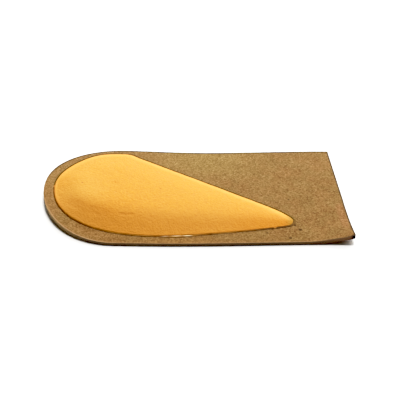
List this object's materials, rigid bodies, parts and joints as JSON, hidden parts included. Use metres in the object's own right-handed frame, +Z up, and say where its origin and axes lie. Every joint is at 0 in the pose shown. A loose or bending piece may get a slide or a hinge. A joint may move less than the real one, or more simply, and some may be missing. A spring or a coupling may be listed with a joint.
{
  "type": "heel wedge",
  "caption": "Flat tan fibre board with a round heel end and a yellow foam wedge glued on top, which tilts and cushions the heel inside a shoe.",
  "frame": {"origin": "on the surface the board lies on, under the middle of the board's length and width", "axes": "+X towards the toes, along the board's length; -Y towards the wedge's thick side; +Z up, out of the board's top"},
  "size_m": [0.127, 0.0628, 0.0083],
  "materials": {
    "fibre_board": "matte pressed fibre, fine speckle",
    "yellow_foam": "matte moulded foam skin",
    "dried_glue": "dark glossy bead"
  },
  "bodies": {
    "root": {"base_board": "fibre_board", "foam_wedge": "yellow_foam", "glue_bead": "dried_glue"}
  },
  "joints": []
}
